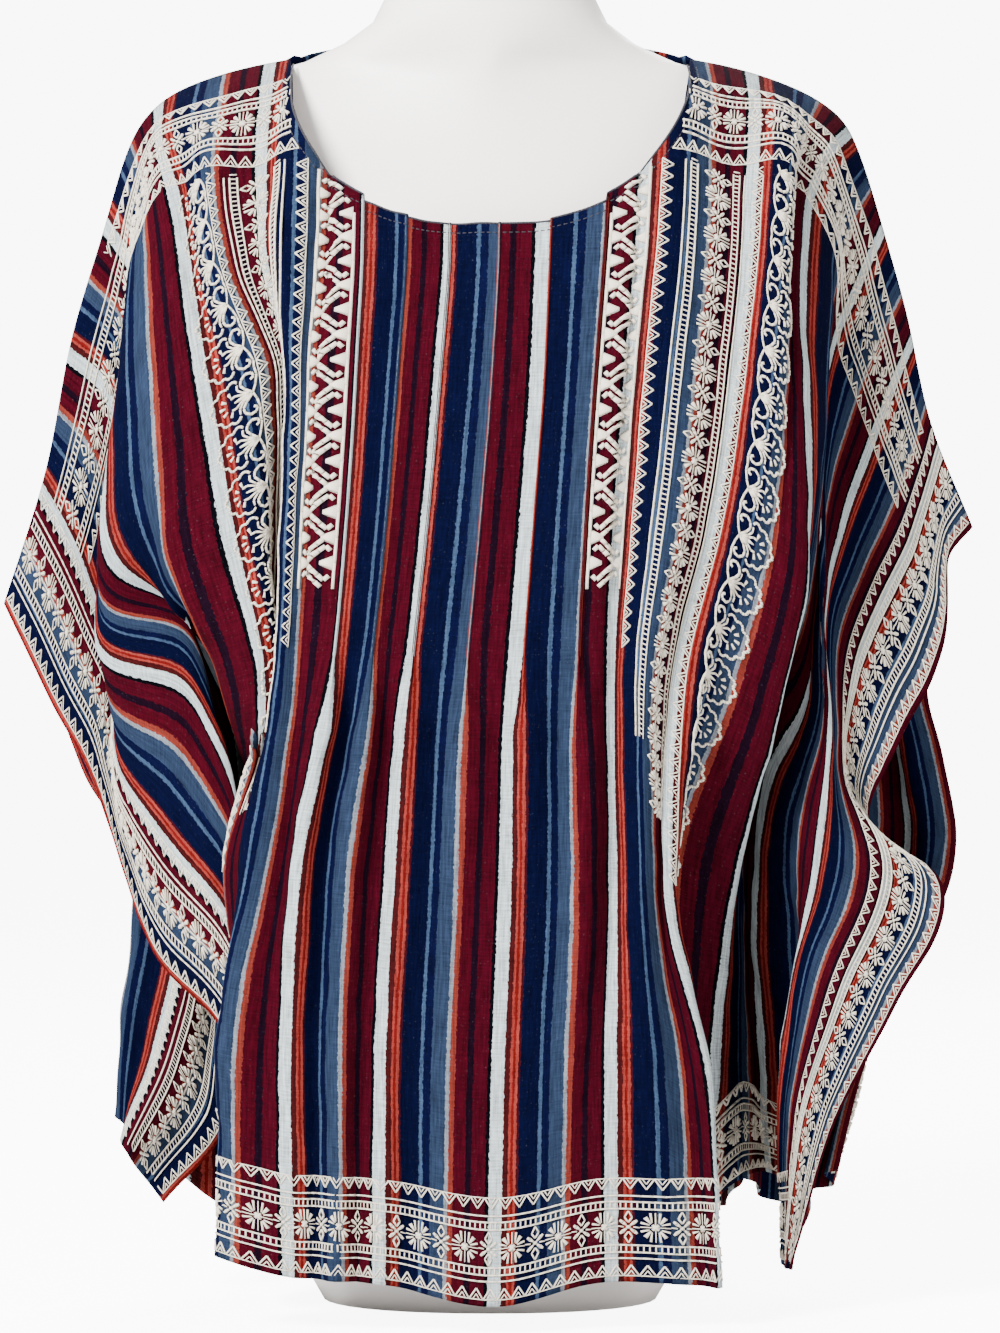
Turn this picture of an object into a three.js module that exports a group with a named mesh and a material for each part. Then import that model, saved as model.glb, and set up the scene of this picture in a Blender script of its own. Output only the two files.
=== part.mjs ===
// Poncho top of striped, embroidered cloth, worn by a smooth limbless neck-and-torso form.
// Millimetres, +Z up, front towards -Y, +X to the viewer's right, z = 0 under the form's foot.
import * as THREE from "three";

// Cut of one cloth panel: u runs across it from the centre, drop runs down from the shoulder seam
const HALF_CUT_WIDTH = 470;
const BODY_LENGTH = 740;
const CUFF_LENGTH = 520;
const HALF_NECK_CUT = 132;
const HALF_NECK_WORN = 112;
const FRONT_NECK_DEPTH = 128;
const BACK_NECK_DEPTH = 20;
const BACK_NECK_RISE = 27;
const NECK_ROUNDNESS = 2.6;
const CLOTH = 1.4;
const SEAM_HALF_GAP = 0.9;

// Lattice braid sewn beside the pintucked centre front
const BRAID_INNER = 90.5;
const BRAID_OUTER = 110.5;
const BRAID_END = 350;
const BRAID_CLEAR = 0.3;
const BRAID_THICKNESS = 1.8;

// Pintucks down the centre front, from the neckline to where they are let out as soft pleats
const TUCKS = [-84, -50, -16, 18, 52, 86];
const TUCK_HALF_WIDTH = 2;
const TUCK_HEIGHT = 1.3;
const TUCK_END = 385;

// Where the top edge of both panels runs: over the form's shoulder, then down the outside of the wing
const LEFT_TOP_EDGE = [
  { u: 132, x: -112, z: 713 },
  { u: 160, x: -137, z: 706 },
  { u: 183, x: -160, z: 698 },
  { u: 205, x: -182, z: 687 },
  { u: 226, x: -197, z: 669 },
  { u: 250, x: -206, z: 645 },
  { u: 270, x: -214, z: 618 },
  { u: 340, x: -238, z: 541 },
  { u: 398, x: -251, z: 476 },
  { u: 470, x: -276, z: 399 },
];
const RIGHT_TOP_EDGE = [
  { u: 132, x: 112, z: 713 },
  { u: 160, x: 137, z: 706 },
  { u: 183, x: 160, z: 698 },
  { u: 205, x: 182, z: 687 },
  { u: 230, x: 200, z: 670 },
  { u: 248, x: 206, z: 653 },
  { u: 298, x: 220, z: 607 },
  { u: 347, x: 234, z: 559 },
  { u: 407, x: 247, z: 501 },
  { u: 470, x: 273, z: 443 },
];

// Each row below is one fold line down a panel: its place u across the cut, its height halfway
// and at the hem, and its sideways and depth positions at these shares of its length
const SHARES = [0, 0.06, 0.13, 0.21, 0.31, 0.42, 0.55, 0.7, 0.85, 1];
const HALFWAY = 6;
const FRONT_FOLDS = [
  { name: "left cuff edge", u: -470, mid: 152, hem: 26,
    x: [-266, -250, -229, -210, -190, -146, -126, -124, -126],
    y: [-12, -24, -36, -48, -58, -66, -66, -60, -56] },
  { name: "left cuff band", u: -404, mid: 216, hem: 26,
    x: [-240, -226, -214, -212, -181, -140, -128, -126, -128],
    y: [-6, -8, -14, -42, -62, -78, -76, -68, -64] },
  { name: "left wing", u: -340, mid: 277, hem: 30,
    x: [-217, -212, -216, -222, -166, -140, -140, -142, -142],
    y: [-6, -8, -30, -58, -70, -74, -48, -40, -36] },
  { name: "left wing root", u: -290, mid: 300, hem: 44,
    x: [-206, -206, -213, -220, -166, -150, -142, -140, -140],
    y: [-8, -14, -44, -66, -60, -45, -16, -12, -12] },
  { name: "left side seam", u: -262, mid: 356, hem: 60,
    x: [-202, -205, -208, -200, -156, -134, -134, -134, -134],
    y: [-24, -50, -72, -84, -52, -1.2, -1.2, -1.2, -1.2] },
  { name: "left body", u: -212, mid: 351, hem: 42,
    x: [-189, -178, -169, -158, -136, -128, -129, -130, -130],
    y: [-34, -62, -82, -92, -92, -58, -46, -44, -44] },
  { name: "left pleat valley", u: -166, mid: 349, hem: 30,
    x: [-145, -147, -142, -128, -108, -106, -112, -116, -118],
    y: [-36, -68, -88, -88, -74, -70, -74, -78, -80] },
  { name: "left pleat edge", u: -126, mid: 349, hem: 30,
    x: [-108, -109, -110, -113, -121, -128, -143, -149, -151],
    y: [-40, -74, -98, -110, -116, -118, -116, -114, -114] },
  { name: "left of centre", u: -84, mid: 348, hem: 27,
    x: [-71, -70, -70, -73, -78, -87, -106, -111, -109],
    y: [-40, -76, -100, -113, -118, -122, -126, -128, -130] },
  { name: "centre left", u: -20, mid: 348, hem: 19,
    x: [-26, -25, -25, -30, -37, -47, -55, -60, -60],
    y: [-38, -72, -98, -112, -117, -120, -124, -126, -134] },
  { name: "centre right", u: 44, mid: 348, hem: 14,
    x: [30, 29, 27, 24, 18, 11, 8, 4, 2],
    y: [-38, -72, -98, -112, -117, -120, -122, -128, -138] },
  { name: "right of centre", u: 108, mid: 348, hem: 20,
    x: [91, 88, 84, 77, 71, 66, 68, 66, 66],
    y: [-40, -76, -100, -113, -118, -120, -120, -122, -124] },
  { name: "right pleat edge", u: 172, mid: 352, hem: 22,
    x: [150, 147, 144, 136, 124, 103, 97, 119, 127],
    y: [-38, -70, -92, -104, -112, -116, -118, -118, -118] },
  { name: "right pleat valley", u: 205, mid: 348, hem: 40,
    x: [178, 170, 164, 160, 150, 126, 98, 103, 108],
    y: [-36, -68, -88, -100, -104, -98, -84, -82, -84] },
  { name: "right body", u: 236, mid: 334, hem: 56,
    x: [190, 178, 174, 176, 177, 162, 140, 128, 124],
    y: [-32, -60, -80, -94, -100, -92, -62, -46, -42] },
  { name: "right side seam", u: 262, mid: 350, hem: 68,
    x: [200, 194, 192, 190, 184, 146, 144, 144, 144],
    y: [-24, -44, -60, -74, -70, -1.2, -1.2, -1.2, -1.2] },
  { name: "right wing root", u: 300, mid: 280, hem: 74,
    x: [211, 192, 186, 188, 182, 152, 152, 156, 160],
    y: [-14, -12, -22, -42, -40, -18, -16, -18, -20] },
  { name: "right wing pleat", u: 332, mid: 264, hem: 58,
    x: [220, 203, 188, 187, 190, 170, 178, 180, 182],
    y: [-11, -15, -20, -37, -47, -42, -42, -40, -40] },
  { name: "right wing", u: 364, mid: 250, hem: 30,
    x: [230, 214, 190, 188, 200, 182, 164, 162, 164],
    y: [-8, -22, -20, -34, -56, -66, -72, -70, -66] },
  { name: "right cuff band", u: 428, mid: 240, hem: 26,
    x: [251, 241, 222, 200, 222, 216, 192, 174, 166],
    y: [-10, -24, -40, -38, -34, -56, -72, -72, -70] },
  { name: "right cuff edge", u: 470, mid: 222, hem: 26,
    x: [262, 261, 252, 220, 256, 250, 220, 190, 167],
    y: [-12, -26, -40, -44, -26, -54, -70, -74, -72] },
];
const BACK_FOLDS = [
  { name: "left cuff edge", u: -470, mid: 225, hem: 54,
    x: [-268, -258, -246, -232, -206, -172, -148, -150, -188],
    y: [4, 6, 6, 4, 2, 4, 5, 3, -2] },
  { name: "left cuff band", u: -420, mid: 250, hem: 86,
    x: [-250, -244, -238, -228, -212, -192, -174, -186, -210],
    y: [8, 12, 14, 14, 12, 6, 0, -4, -8] },
  { name: "left turned edge", u: -365, mid: 275, hem: 104,
    x: [-236, -230, -224, -218, -212, -206, -208, -214, -216],
    y: [12, 20, 28, 32, 30, 22, 14, 8, 4] },
  { name: "left wing", u: -330, mid: 285, hem: 48,
    x: [-226, -218, -214, -208, -190, -168, -160, -158, -158],
    y: [12, 22, 34, 44, 46, 34, 30, 32, 34] },
  { name: "left side seam", u: -262, mid: 356, hem: 60,
    x: [-200, -190, -182, -170, -152, -134, -134, -134, -134],
    y: [24, 44, 56, 60, 44, 1.2, 1.2, 1.2, 1.2] },
  { name: "left sleeve back", u: -212, mid: 352, hem: 42,
    x: [-190, -184, -172, -158, -142, -130, -130, -131, -132],
    y: [30, 54, 72, 80, 74, 50, 44, 44, 46] },
  { name: "left shoulder blade", u: -170, mid: 350, hem: 36,
    x: [-150, -147, -140, -130, -124, -122, -124, -126, -128],
    y: [34, 62, 80, 88, 88, 84, 80, 80, 82] },
  { name: "left hollow", u: -85, mid: 346, hem: 28,
    x: [-74, -73, -72, -72, -73, -75, -77, -79, -80],
    y: [60, 84, 98, 102, 98, 94, 90, 88, 90] },
  { name: "centre", u: 0, mid: 347, hem: 22,
    x: [0, 0, 0, 1, 2, 2, 3, 4, 4],
    y: [76, 96, 108, 114, 116, 116, 118, 122, 128] },
  { name: "right hollow", u: 85, mid: 346, hem: 30,
    x: [74, 73, 72, 73, 75, 78, 80, 82, 82],
    y: [60, 84, 98, 102, 100, 96, 94, 90, 92] },
  { name: "right shoulder blade", u: 170, mid: 350, hem: 40,
    x: [150, 147, 140, 132, 128, 127, 128, 130, 132],
    y: [34, 62, 80, 88, 88, 86, 84, 86, 88] },
  { name: "right sleeve back", u: 212, mid: 352, hem: 46,
    x: [190, 184, 172, 160, 148, 134, 134, 135, 136],
    y: [30, 54, 72, 80, 74, 50, 44, 44, 46] },
  { name: "right side seam", u: 262, mid: 350, hem: 68,
    x: [200, 192, 184, 176, 160, 146, 144, 144, 144],
    y: [24, 44, 56, 60, 44, 1.2, 1.2, 1.2, 1.2] },
  { name: "right wing", u: 330, mid: 290, hem: 50,
    x: [222, 214, 208, 202, 192, 178, 172, 170, 168],
    y: [14, 26, 38, 48, 52, 40, 34, 34, 36] },
  { name: "right cuff band", u: 400, mid: 270, hem: 58,
    x: [236, 230, 226, 224, 226, 228, 218, 204, 190],
    y: [14, 24, 32, 38, 38, 34, 28, 22, 18] },
  { name: "right cuff edge", u: 470, mid: 262, hem: 72,
    x: [264, 256, 250, 252, 262, 270, 250, 220, 200],
    y: [8, 14, 18, 20, 20, 18, 10, 4, 0] },
];

// Torso form: level sections from its flat foot to the capped neck
const FORM_SECTIONS = [
  { z: 0, width: 96, front: 66, back: 62, fullness: 2.2 },
  { z: 14, width: 104, front: 72, back: 68, fullness: 2.2 },
  { z: 120, width: 112, front: 78, back: 74, fullness: 2.2 },
  { z: 260, width: 106, front: 74, back: 70, fullness: 2.2 },
  { z: 400, width: 114, front: 80, back: 74, fullness: 2.2 },
  { z: 490, width: 138, front: 86, back: 78, fullness: 2.2 },
  { z: 555, width: 156, front: 86, back: 80, fullness: 2.1 },
  { z: 605, width: 172, front: 76, back: 74, fullness: 1.9 },
  { z: 635, width: 184, front: 64, back: 66, fullness: 1.7 },
  { z: 655, width: 189, front: 52, back: 58, fullness: 1.5 },
  { z: 671, width: 188, front: 46, back: 54, fullness: 1.35 },
  { z: 686, width: 180, front: 44, back: 52, fullness: 1.15 },
  { z: 697, width: 158, front: 45, back: 52, fullness: 1.05 },
  { z: 704.5, width: 134, front: 47, back: 53, fullness: 1 },
  { z: 711, width: 108, front: 49, back: 54, fullness: 1.1 },
  { z: 721, width: 84, front: 52, back: 56, fullness: 1.8 },
  { z: 733, width: 65, front: 53, back: 56, fullness: 2 },
  { z: 750, width: 58, front: 52, back: 55, fullness: 2 },
  { z: 790, width: 57, front: 52, back: 55, fullness: 2 },
];
const FORM_SIDES = 40;

// Mesh density: drops down a panel, and strips across it between these places
const FRONT_DROPS = 30;
const BACK_DROPS = 22;
const tuckStrips = TUCKS.flatMap((u, i) => [
  { from: i ? TUCKS[i - 1] + TUCK_HALF_WIDTH : -BRAID_INNER, to: u - TUCK_HALF_WIDTH, count: 1 },
  { from: u - TUCK_HALF_WIDTH, to: u + TUCK_HALF_WIDTH, count: 2 },
]);
const FRONT_STRIPS = [
  { from: -470, to: -262, count: 12 },
  { from: -262, to: -132, count: 8 },
  { from: -132, to: -BRAID_OUTER, count: 2 },
  { from: -BRAID_OUTER, to: -BRAID_INNER, count: 2 },
  ...tuckStrips,
  { from: TUCKS[TUCKS.length - 1] + TUCK_HALF_WIDTH, to: BRAID_INNER, count: 1 },
  { from: BRAID_INNER, to: BRAID_OUTER, count: 2 },
  { from: BRAID_OUTER, to: 132, count: 2 },
  { from: 132, to: 262, count: 8 },
  { from: 262, to: 470, count: 13 },
];
const BACK_STRIPS = [
  { from: -470, to: -262, count: 11 },
  { from: -262, to: -132, count: 5 },
  { from: -132, to: 132, count: 12 },
  { from: 132, to: 262, count: 5 },
  { from: 262, to: 470, count: 9 },
];
const FALL_STEPS = 40;
const LEAST_FALL = 0.05;

// Smooth curve through the points (at[i], value[i]) that turns only at a point, so that no
// stretch between two points swings past them
function curve(at, value) {
  const last = at.length - 1;
  const rate = (i) => (value[i + 1] - value[i]) / (at[i + 1] - at[i]);
  const slope = at.map((_, i) => {
    if (i === 0) return rate(0);
    if (i === last) return rate(last - 1);
    const before = rate(i - 1);
    const after = rate(i);
    return before * after > 0 ? (2 * before * after) / (before + after) : 0;
  });
  return (p) => {
    let i = 0;
    while (i < last - 1 && p > at[i + 1]) i += 1;
    const span = at[i + 1] - at[i];
    const k = (p - at[i]) / span;
    const k2 = k * k;
    const k3 = k2 * k;
    return (2 * k3 - 3 * k2 + 1) * value[i] + (k3 - 2 * k2 + k) * span * slope[i]
      + (3 * k2 - 2 * k3) * value[i + 1] + (k3 - k2) * span * slope[i + 1];
  };
}

// Length of the cut from the sloping shoulder seam down to the hem
function lengthAt(u) {
  const out = Math.max(0, Math.abs(u) - HALF_NECK_CUT) / (HALF_CUT_WIDTH - HALF_NECK_CUT);
  return BODY_LENGTH - (BODY_LENGTH - CUFF_LENGTH) * out;
}

// Drop at which the cloth starts: the scooped neckline, or zero along the shoulder seam
function neckDrop(u, depth) {
  const across = Math.abs(u) / HALF_NECK_CUT;
  if (across >= 1) return 0;
  return depth * (1 - across ** NECK_ROUNDNESS) ** (1 / NECK_ROUNDNESS);
}

const leftX = curve(LEFT_TOP_EDGE.map((p) => p.u), LEFT_TOP_EDGE.map((p) => p.x));
const leftZ = curve(LEFT_TOP_EDGE.map((p) => p.u), LEFT_TOP_EDGE.map((p) => p.z));
const rightX = curve(RIGHT_TOP_EDGE.map((p) => p.u), RIGHT_TOP_EDGE.map((p) => p.x));
const rightZ = curve(RIGHT_TOP_EDGE.map((p) => p.u), RIGHT_TOP_EDGE.map((p) => p.z));

// Top edge of a panel; between the neck points it is the line that the scoop is cut from
function topEdge(u, back) {
  const side = Math.abs(u);
  if (side >= HALF_NECK_CUT) {
    const x = u < 0 ? leftX(side) : rightX(side);
    const z = u < 0 ? leftZ(side) : rightZ(side);
    return { x, y: back ? SEAM_HALF_GAP : -SEAM_HALF_GAP, z };
  }
  const rise = 1 - (side / HALF_NECK_CUT) ** 2;
  const x = (u * HALF_NECK_WORN) / HALF_NECK_CUT;
  const z = LEFT_TOP_EDGE[0].z + (back ? BACK_NECK_RISE * rise : 0);
  return { x, y: back ? SEAM_HALF_GAP + 50 * rise : -SEAM_HALF_GAP, z };
}

// One fold line as curves of the share of its length; the height falls by what its length leaves
function foldLine(fold, back) {
  const top = topEdge(fold.u, back);
  const x = curve(SHARES, [top.x, ...fold.x]);
  const y = curve(SHARES, [top.y, ...fold.y]);
  const length = lengthAt(fold.u);
  const at = [0];
  const fallen = [0];
  for (let i = 1; i <= FALL_STEPS; i += 1) {
    const a = (i - 1) / FALL_STEPS;
    const b = i / FALL_STEPS;
    const run = length / FALL_STEPS;
    const fall2 = run ** 2 - (x(b) - x(a)) ** 2 - (y(b) - y(a)) ** 2;
    at.push(b);
    fallen.push(fallen[i - 1] + Math.sqrt(Math.max(fall2, LEAST_FALL * run ** 2)));
  }
  const fall = curve(at, fallen);
  const half = fall(SHARES[HALFWAY]);
  const whole = fall(1);
  const z = (share) => {
    const f = fall(share);
    if (f <= half) return top.z - ((top.z - fold.mid) * f) / half;
    return fold.mid - ((fold.mid - fold.hem) * (f - half)) / (whole - half);
  };
  return { u: fold.u, x, y, z };
}

// The worn panel: a function from (u, share of the length) to a point in space
function drape(folds, back) {
  const lines = folds.map((fold) => foldLine(fold, back));
  const places = lines.map((line) => line.u);
  return (u, share) => new THREE.Vector3(
    curve(places, lines.map((line) => line.x(share)))(u),
    curve(places, lines.map((line) => line.y(share)))(u),
    curve(places, lines.map((line) => line.z(share)))(u),
  );
}

// How far a tuck stands out of the cloth here
function tuckRidge(u, drop) {
  const onTuck = TUCKS.some((tuck) => Math.abs(u - tuck) < TUCK_HALF_WIDTH / 2);
  return onTuck && drop < TUCK_END ? TUCK_HEIGHT : 0;
}

// Points of a panel in columns from cuff to cuff, each from its top edge to the hem
function panelGrid(map, strips, drops, neckDepth, tucked) {
  const columns = [];
  for (const strip of strips) {
    for (let i = 0; i < strip.count; i += 1) {
      columns.push(strip.from + ((strip.to - strip.from) * i) / strip.count);
    }
  }
  columns.push(strips[strips.length - 1].to);
  return columns.map((u) => {
    const start = neckDrop(u, neckDepth) / lengthAt(u);
    const points = [];
    const ridges = [];
    for (let j = 0; j <= drops; j += 1) {
      const share = start + ((1 - start) * j) / drops;
      points.push(map(u, share));
      ridges.push(tucked ? tuckRidge(u, share * lengthAt(u)) : 0);
    }
    return { u, points, ridges };
  });
}

// Unit normals of a grid, out of the cloth's right side
function gridNormals(grid, outward) {
  const last = grid.length - 1;
  return grid.map((column, i) => column.points.map((_, j) => {
    const left = grid[Math.max(i - 1, 0)].points;
    const right = grid[Math.min(i + 1, last)].points;
    const above = column.points[Math.max(j - 1, 0)];
    const below = column.points[Math.min(j + 1, column.points.length - 1)];
    const across = right[j].clone().sub(left[j]);
    const down = below.clone().sub(above);
    return across.cross(down).normalize().multiplyScalar(outward);
  }));
}

// Closed wall between two offsets of a grid, its outer face raised along any ridges
function wall(grid, normals, inner, outer, outward) {
  const columns = grid.length;
  const rows = grid[0].points.length;
  const position = [];
  for (const offset of [outer, inner]) {
    for (let i = 0; i < columns; i += 1) {
      for (let j = 0; j < rows; j += 1) {
        const ridge = offset === outer ? grid[i].ridges[j] : 0;
        const p = grid[i].points[j].clone().addScaledVector(normals[i][j], offset + ridge);
        position.push(p.x, p.y, p.z);
      }
    }
  }
  const index = [];
  const inside = columns * rows;
  const quad = (a, b, c, d) => {
    if (outward > 0) index.push(a, b, c, a, c, d);
    else index.push(a, c, b, a, d, c);
  };
  const id = (i, j) => i * rows + j;
  for (let i = 0; i < columns - 1; i += 1) {
    for (let j = 0; j < rows - 1; j += 1) {
      quad(id(i, j), id(i + 1, j), id(i + 1, j + 1), id(i, j + 1));
      quad(inside + id(i, j), inside + id(i, j + 1), inside + id(i + 1, j + 1), inside + id(i + 1, j));
    }
    quad(id(i, 0), inside + id(i, 0), inside + id(i + 1, 0), id(i + 1, 0));
    const end = rows - 1;
    quad(id(i, end), id(i + 1, end), inside + id(i + 1, end), inside + id(i, end));
  }
  for (let j = 0; j < rows - 1; j += 1) {
    quad(id(0, j), id(0, j + 1), inside + id(0, j + 1), inside + id(0, j));
    const end = columns - 1;
    quad(id(end, j), inside + id(end, j), inside + id(end, j + 1), id(end, j + 1));
  }
  return solid(position, index);
}

function solid(position, index) {
  const geometry = new THREE.BufferGeometry();
  geometry.setAttribute("position", new THREE.Float32BufferAttribute(position, 3));
  geometry.setIndex(index);
  geometry.computeVertexNormals();
  return geometry;
}

// Torso form lofted through its sections and capped at foot and neck
function formGeometry() {
  const position = [];
  for (const section of FORM_SECTIONS) {
    for (let k = 0; k < FORM_SIDES; k += 1) {
      const angle = (2 * Math.PI * k) / FORM_SIDES;
      const c = Math.cos(angle);
      const s = Math.sin(angle);
      const depth = s < 0 ? section.front : section.back;
      const power = 2 / section.fullness;
      position.push(
        section.width * Math.sign(c) * Math.abs(c) ** power,
        depth * Math.sign(s) * Math.abs(s) ** power,
        section.z,
      );
    }
  }
  const rings = FORM_SECTIONS.length;
  const foot = rings * FORM_SIDES;
  const crown = foot + 1;
  position.push(0, 0, FORM_SECTIONS[0].z);
  position.push(0, 0, FORM_SECTIONS[rings - 1].z);
  const index = [];
  for (let k = 0; k < FORM_SIDES; k += 1) {
    const next = (k + 1) % FORM_SIDES;
    for (let r = 0; r < rings - 1; r += 1) {
      const a = r * FORM_SIDES;
      const b = a + FORM_SIDES;
      index.push(a + k, a + next, b + next, a + k, b + next, b + k);
    }
    const top = (rings - 1) * FORM_SIDES;
    index.push(foot, next, k, crown, top + k, top + next);
  }
  return solid(position, index);
}

// Part of the front grid under one braid, from the neckline down to the braid's end
function braidGrid(grid, side) {
  const columns = grid.filter(({ u }) => u * side >= BRAID_INNER && u * side <= BRAID_OUTER);
  const rows = 1 + Math.round((FRONT_DROPS * BRAID_END) / BODY_LENGTH);
  return columns.map(({ u, points, ridges }) => ({ u, points: points.slice(0, rows), ridges }));
}

const clothFinish = { color: 0x2a2c50, roughness: 0.9, metalness: 0 };
const braidFinish = { color: 0xebe4d7, roughness: 0.85, metalness: 0 };
const formFinish = { color: 0xf3ece6, roughness: 0.45, metalness: 0 };

const garment = new THREE.Group();

function addPiece(name, geometry, finish) {
  const piece = new THREE.Mesh(geometry, new THREE.MeshStandardMaterial(finish));
  piece.name = name;
  garment.add(piece);
}

const frontMap = drape(FRONT_FOLDS, false);
const frontGrid = panelGrid(frontMap, FRONT_STRIPS, FRONT_DROPS, FRONT_NECK_DEPTH, true);
const frontNormals = gridNormals(frontGrid, -1);
const backMap = drape(BACK_FOLDS, true);
const backGrid = panelGrid(backMap, BACK_STRIPS, BACK_DROPS, BACK_NECK_DEPTH, false);
const backNormals = gridNormals(backGrid, 1);

addPiece("form_torso", formGeometry(), formFinish);
addPiece("front_panel", wall(frontGrid, frontNormals, -CLOTH / 2, CLOTH / 2, -1), clothFinish);
addPiece("back_panel", wall(backGrid, backNormals, -CLOTH / 2, CLOTH / 2, 1), clothFinish);

const braidFoot = CLOTH / 2 + BRAID_CLEAR;
for (const [name, side] of [["braid_left", -1], ["braid_right", 1]]) {
  const grid = braidGrid(frontGrid, side);
  const first = frontGrid.findIndex(({ u }) => u === grid[0].u);
  const normals = frontNormals.slice(first, first + grid.length);
  addPiece(name, wall(grid, normals, braidFoot, braidFoot + BRAID_THICKNESS, -1), braidFinish);
}

export default garment;
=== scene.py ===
import math
import bmesh
import bpy
import numpy as np
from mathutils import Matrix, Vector


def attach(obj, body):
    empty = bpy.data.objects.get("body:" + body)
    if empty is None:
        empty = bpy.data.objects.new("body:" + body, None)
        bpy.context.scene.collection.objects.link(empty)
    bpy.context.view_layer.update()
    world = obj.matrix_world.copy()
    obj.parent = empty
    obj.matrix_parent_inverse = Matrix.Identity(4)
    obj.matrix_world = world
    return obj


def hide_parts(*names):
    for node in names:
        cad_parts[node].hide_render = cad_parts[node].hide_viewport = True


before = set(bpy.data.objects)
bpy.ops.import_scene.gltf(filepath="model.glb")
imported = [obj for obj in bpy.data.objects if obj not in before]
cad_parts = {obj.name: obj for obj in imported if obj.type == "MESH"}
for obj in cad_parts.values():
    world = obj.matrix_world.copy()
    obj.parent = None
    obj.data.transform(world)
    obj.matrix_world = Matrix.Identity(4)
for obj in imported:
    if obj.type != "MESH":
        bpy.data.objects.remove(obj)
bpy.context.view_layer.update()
MM = 0.001

# Torso form: a hollow-cast, smooth white neck and torso with no limbs, standing on its flat foot.
# It is one moulding, rubbed down and sprayed satin; only its neck shows above the scooped neckline.
FORM_WHITE = (0.90, 0.86, 0.82, 1)
FORM_SHADE = (0.87, 0.82, 0.78, 1)
FORM_ROUGHNESS = 0.42
FORM_FOOT_TOP = 30
FORM_NECK_TOP = 785


def new_material(name):
    material = bpy.data.materials.new(name)
    material.use_nodes = True
    nodes = material.node_tree.nodes
    return material, nodes, material.node_tree.links, nodes["Principled BSDF"]


def place_piece(name, mesh, material):
    piece = bpy.data.objects.new(name, mesh)
    bpy.context.scene.collection.objects.link(piece)
    mesh.materials.clear()
    mesh.materials.append(material)
    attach(piece, "root")
    return piece


def noise(nodes, links, coords, scale, detail=2.0, stretch=(1, 1, 1)):
    mapping = nodes.new("ShaderNodeMapping")
    mapping.inputs["Scale"].default_value = stretch
    texture = nodes.new("ShaderNodeTexNoise")
    texture.inputs["Scale"].default_value = scale
    texture.inputs["Detail"].default_value = detail
    links.new(coords, mapping.inputs["Vector"])
    links.new(mapping.outputs["Vector"], texture.inputs["Vector"])
    return texture.outputs["Fac"]


def mix_colour(nodes, links, amount, first, second, blend="MIX"):
    mix = nodes.new("ShaderNodeMix")
    mix.data_type = "RGBA"
    mix.blend_type = blend
    for value, socket in ((amount, mix.inputs[0]), (first, mix.inputs[6]), (second, mix.inputs[7])):
        if isinstance(value, (int, float, tuple)):
            socket.default_value = value
        else:
            links.new(value, socket)
    return mix.outputs[2]


def math_node(nodes, links, operation, first, second=0.0, third=0.0):
    node = nodes.new("ShaderNodeMath")
    node.operation = operation
    for value, socket in zip((first, second, third), node.inputs):
        if isinstance(value, (int, float)):
            socket.default_value = value
        else:
            links.new(value, socket)
    return node.outputs[0]


def remapped(nodes, links, value, start, end, low, high):
    node = nodes.new("ShaderNodeMapRange")
    bounds = {"From Min": start, "From Max": end, "To Min": low, "To Max": high}
    for name, bound in bounds.items():
        node.inputs[name].default_value = bound
    links.new(value, node.inputs["Value"])
    return node.outputs["Result"]


def bump(nodes, links, height, distance, strength, under=None):
    node = nodes.new("ShaderNodeBump")
    node.inputs["Distance"].default_value = distance
    node.inputs["Strength"].default_value = strength
    links.new(height, node.inputs["Height"])
    if under is not None:
        links.new(under, node.inputs["Normal"])
    return node.outputs["Normal"]


form_material, nodes, links, shader = new_material("satin_form")
coords = nodes.new("ShaderNodeTexCoord").outputs["Object"]
mottle = noise(nodes, links, coords, 9, 4)
links.new(mix_colour(nodes, links, mottle, FORM_WHITE, FORM_SHADE), shader.inputs["Base Color"])
shader.inputs["Roughness"].default_value = FORM_ROUGHNESS
grain = noise(nodes, links, coords, 900, 3)
links.new(bump(nodes, links, grain, 0.0004, 0.15), shader.inputs["Normal"])

bm = bmesh.new()
bm.from_mesh(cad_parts["form_torso"].data)
bmesh.ops.remove_doubles(bm, verts=bm.verts, dist=0.02 * MM)
level_edges = [
    edge
    for edge in bm.edges
    if edge.is_manifold and all(abs(face.normal.z) > 0.99 for face in edge.link_faces)
]
bmesh.ops.dissolve_limit(bm, angle_limit=math.radians(1), verts=[], edges=level_edges)
between_caps = [v for v in bm.verts if FORM_FOOT_TOP * MM < v.co.z < FORM_NECK_TOP * MM]
for _ in range(2):
    bmesh.ops.smooth_vert(
        bm, verts=between_caps, factor=0.5, use_axis_x=True, use_axis_y=True, use_axis_z=False
    )
for face in bm.faces:
    face.smooth = True
mesh = bpy.data.meshes.new("torso_form")
bm.to_mesh(mesh)
bm.free()
torso_form = place_piece("torso_form", mesh, form_material)
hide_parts("form_torso")

# Cloth of the top: both panels are cut from one width of yarn-dyed cotton, 940 mm across and 740 mm
# long, with the shoulder seam and hem closing in to a 520 mm cuff. This is how the panels hang.
HALF_CUT_WIDTH = 470
BODY_LENGTH = 740
CUFF_LENGTH = 520
HALF_NECK_CUT = 132
HALF_NECK_WORN = 112
FRONT_NECK_DEPTH = 145
BACK_NECK_DEPTH = 20
BACK_NECK_RISE = 38
NECK_ROUNDNESS = 3.0
SEAM_HALF_GAP = 0.9
NECK_POINT_HEIGHT = 713
TOP_EDGE_PLACES = {
    "left": [132, 160, 183, 205, 226, 250, 270, 340, 398, 470],
    "right": [132, 160, 183, 205, 230, 248, 298, 347, 407, 470],
}
TOP_EDGE_X = {
    "left": [-112, -138, -162, -185, -201, -211, -219, -242, -255, -280],
    "right": [112, 138, 162, 185, 204, 212, 226, 240, 253, 278],
}
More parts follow.
